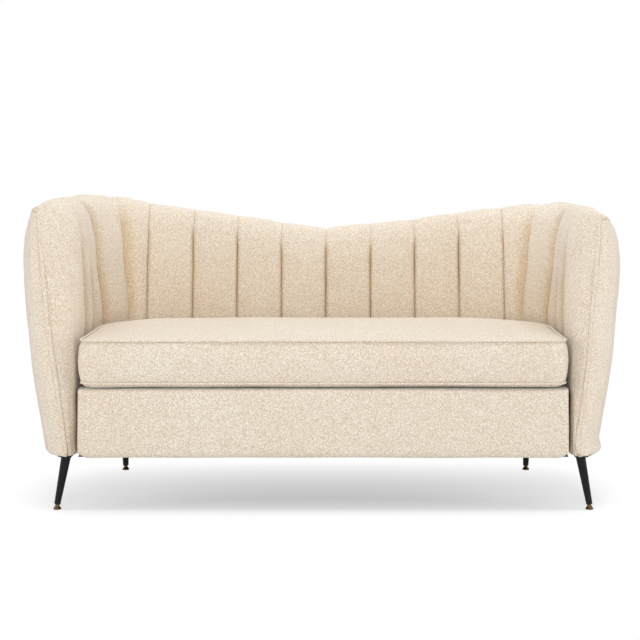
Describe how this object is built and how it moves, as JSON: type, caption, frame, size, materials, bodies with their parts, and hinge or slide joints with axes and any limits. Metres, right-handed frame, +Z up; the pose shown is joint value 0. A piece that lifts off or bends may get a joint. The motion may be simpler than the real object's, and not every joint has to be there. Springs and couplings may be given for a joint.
{
  "type": "loveseat",
  "caption": "Channel-tufted tub loveseat with boucle cover, one bench cushion, flared tuxedo arms and splayed tapered metal legs on levelling glides.",
  "frame": {"origin": "middle of the footprint, on the floor under the sofa", "axes": "+X to the sitter's left (the viewer's right in front), +Y from the front to the back, +Z up"},
  "size_m": [1.58, 0.75, 0.787],
  "materials": {
    "boucle": "cream looped boucle",
    "platform_cloth": "plain woven platform cloth",
    "burlap": "coarse woven burlap",
    "foam": "open-cell foam",
    "felt": "needled felt",
    "webbing": "elastic webbing",
    "black_cloth": "black non-woven cloth",
    "wood": "planed",
    "black_metal": "satin black powder coat",
    "bronze": "aged bronze",
    "zinc": "zinc plated"
  },
  "bodies": {
    "shell": {"back_channel_1": "boucle", "back_channel_2": "boucle", "back_channel_3": "boucle", "back_channel_4": "boucle", "back_channel_5": "boucle", "back_channel_6": "boucle", "back_channel_7": "boucle", "back_channel_8": "boucle", "arm_channel_left_1": "boucle", "arm_channel_left_2": "boucle", "arm_channel_left_3": "boucle", "arm_channel_left_4": "boucle", "arm_channel_left_5": "boucle", "arm_channel_right_1": "boucle", "arm_channel_right_2": "boucle", "arm_channel_right_3": "boucle", "arm_channel_right_4": "boucle", "arm_channel_right_5": "boucle", "outside_arm_left": "boucle", "arm_lining_left": "burlap", "arm_posts_left": "wood", "arm_rails_left": "wood", "side_rail_left": "wood", "outside_arm_right": "boucle", "arm_lining_right": "burlap", "arm_posts_right": "wood", "arm_rails_right": "wood", "side_rail_right": "wood", "leg_front_left": "black_metal", "leg_front_right": "black_metal", "leg_rear_left": "black_metal", "leg_rear_right": "black_metal", "outside_back": "boucle", "outside_welt": "boucle", "back_lining": "burlap", "back_posts": "wood", "back_top_rail": "wood", "apron": "boucle", "deck_pad": "felt", "seat_webbing": "webbing", "dust_cover": "black_cloth", "front_rail": "wood", "rear_rail": "wood", "centre_rail": "wood", "base_boards": "wood", "corner_blocks": "wood", "leg_screws": "zinc"},
    "cushion": {"seat_cushion_cover": "boucle", "seat_cushion_underside": "platform_cloth", "seat_cushion_core": "foam", "cushion_welt_top": "boucle", "cushion_welt_bottom": "boucle"},
    "foot_front_left": {"glide_foot_front_left": "bronze"},
    "stem_front_left": {"glide_stem_front_left": "bronze"},
    "foot_front_right": {"glide_foot_front_right": "bronze"},
    "stem_front_right": {"glide_stem_front_right": "bronze"},
    "foot_rear_left": {"glide_foot_rear_left": "bronze"},
    "stem_rear_left": {"glide_stem_rear_left": "bronze"},
    "foot_rear_right": {"glide_foot_rear_right": "bronze"},
    "stem_rear_right": {"glide_stem_rear_right": "bronze"}
  },
  "joints": [
    {"name": "cushion_lift", "type": "slide", "parent": "shell", "child": "cushion", "axis": [0, -0.2588, 0.9659], "range_m": [0, 0.25]},
    {"name": "level_front_left", "type": "slide", "parent": "shell", "child": "foot_front_left", "axis": [-0.1822, 0, -0.9833], "range_m": [0, 0.008]},
    {"name": "screw_front_left", "type": "hinge", "parent": "foot_front_left", "child": "stem_front_left", "pos_m": [-0.676, -0.32, 0.012], "axis": [-0.1822, 0, -0.9833], "range_deg": [0, 2890]},
    {"name": "level_front_right", "type": "slide", "parent": "shell", "child": "foot_front_right", "axis": [0.1822, 0, -0.9833], "range_m": [0, 0.008]},
    {"name": "screw_front_right", "type": "hinge", "parent": "foot_front_right", "child": "stem_front_right", "pos_m": [0.676, -0.32, 0.012], "axis": [0.1822, 0, -0.9833], "range_deg": [0, 2890]},
    {"name": "level_rear_left", "type": "slide", "parent": "shell", "child": "foot_rear_left", "axis": [0, 0.1822, -0.9833], "range_m": [0, 0.008]},
    {"name": "screw_rear_left", "type": "hinge", "parent": "foot_rear_left", "child": "stem_rear_left", "pos_m": [-0.573, 0.2, 0.012], "axis": [0, 0.1822, -0.9833], "range_deg": [0, 2890]},
    {"name": "level_rear_right", "type": "slide", "parent": "shell", "child": "foot_rear_right", "axis": [0, 0.1822, -0.9833], "range_m": [0, 0.008]},
    {"name": "screw_rear_right", "type": "hinge", "parent": "foot_rear_right", "child": "stem_rear_right", "pos_m": [0.573, 0.2, 0.012], "axis": [0, 0.1822, -0.9833], "range_deg": [0, 2890]}
  ],
  "couplings": [
    {"joint": "screw_front_left", "follows": "level_front_left", "rad_per_m": 6283.2},
    {"joint": "screw_front_right", "follows": "level_front_right", "rad_per_m": 6283.2},
    {"joint": "screw_rear_left", "follows": "level_rear_left", "rad_per_m": 6283.2},
    {"joint": "screw_rear_right", "follows": "level_rear_right", "rad_per_m": 6283.2}
  ]
}
